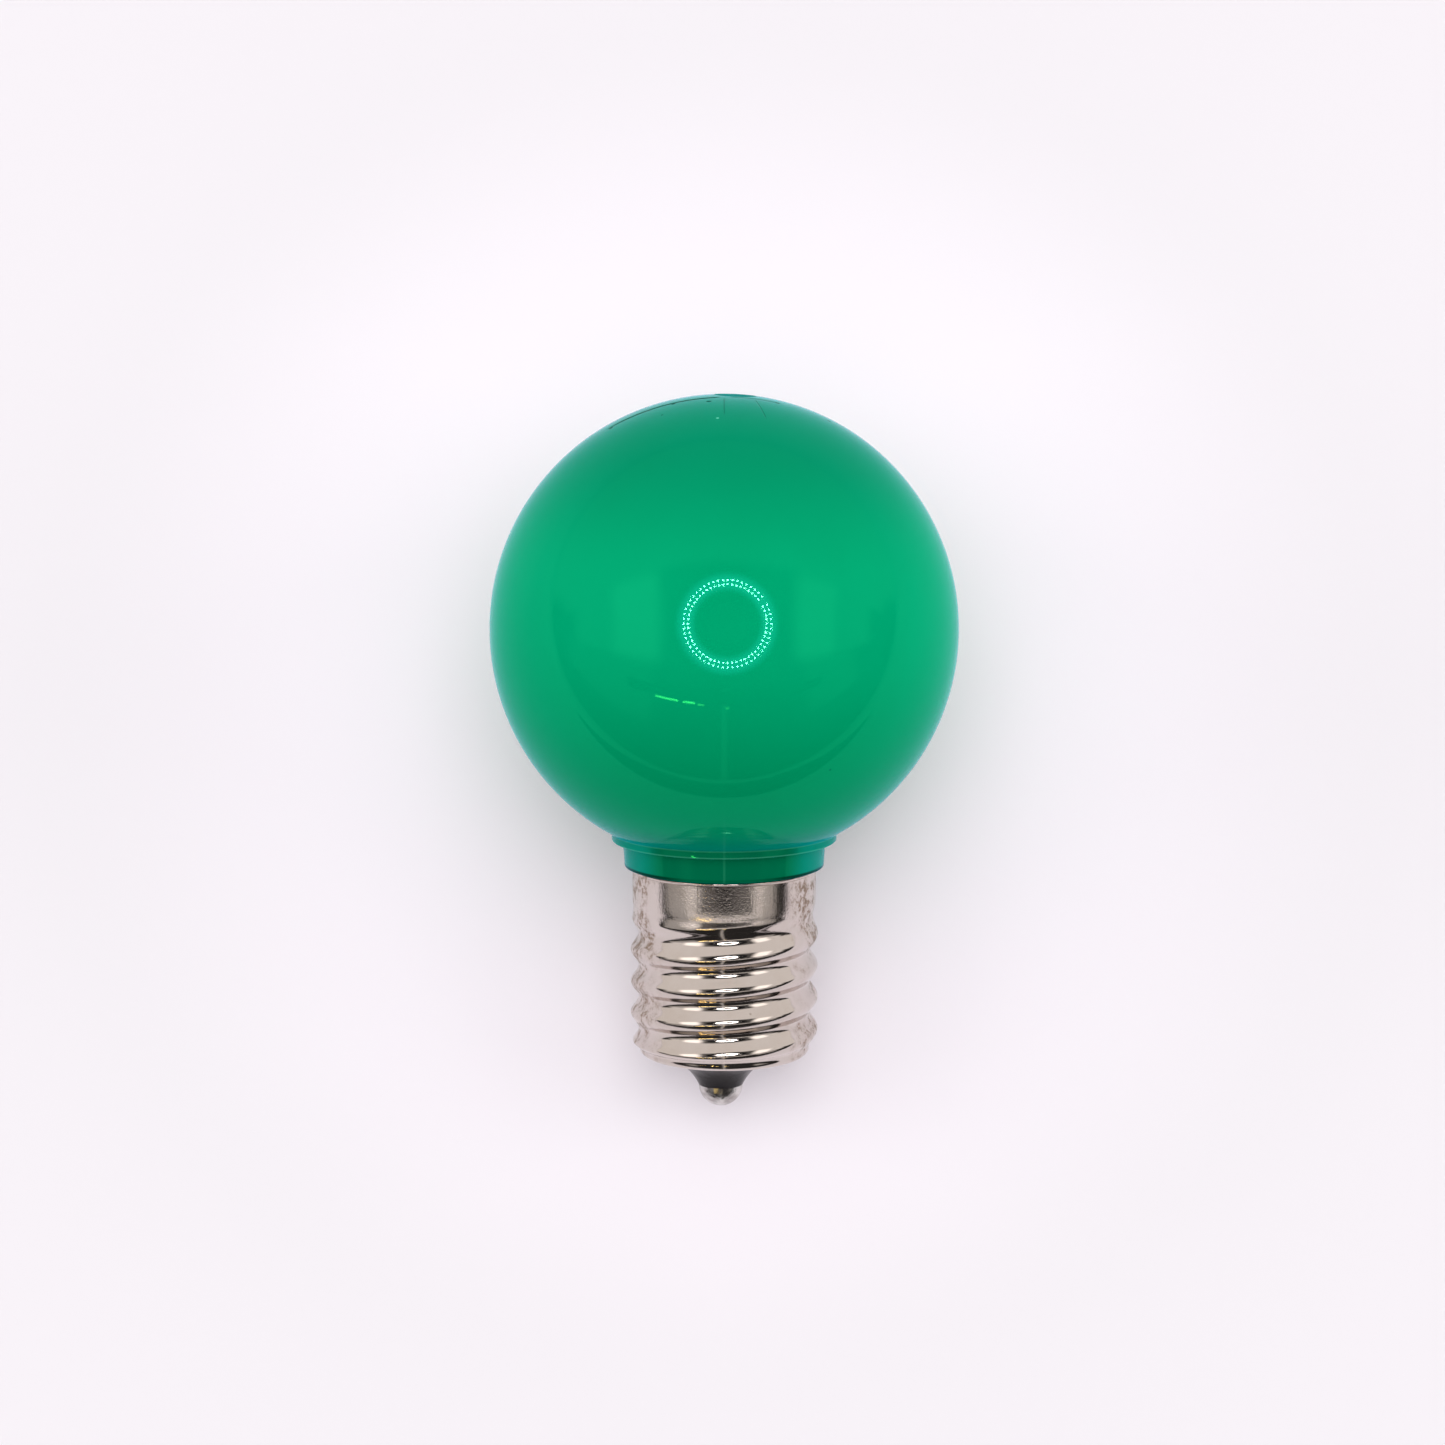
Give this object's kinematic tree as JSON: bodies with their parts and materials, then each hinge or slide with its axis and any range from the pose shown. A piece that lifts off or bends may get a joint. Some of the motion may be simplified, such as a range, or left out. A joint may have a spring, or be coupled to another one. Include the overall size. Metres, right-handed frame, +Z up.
{
  "type": "christmas light bulb",
  "caption": "Round coloured light bulb with a flanged neck on a rolled metal screw cap, a black glass insulator and a domed centre contact, lying on its side.",
  "frame": {"origin": "on the surface that the bulb lies on, under the centre of its box", "axes": "+Z up; the globe lies towards +Y and the tip of the contact towards -Y; the bulb's axis slopes down from the globe to the cap in the YZ plane"},
  "size_m": [0.0404, 0.06, 0.0405],
  "materials": {
    "green_plastic": "glossy moulded plastic, bluish green, coloured through",
    "nickel_plate": "bright nickel plate, faintly brushed and tarnished at the flanks",
    "black_glass": "opaque black glass, fire-polished",
    "bright_tin": "bright tinned metal"
  },
  "bodies": {
    "root": {"globe": "green_plastic", "screw_shell": "nickel_plate", "insulator": "black_glass", "centre_contact": "bright_tin"}
  },
  "joints": []
}
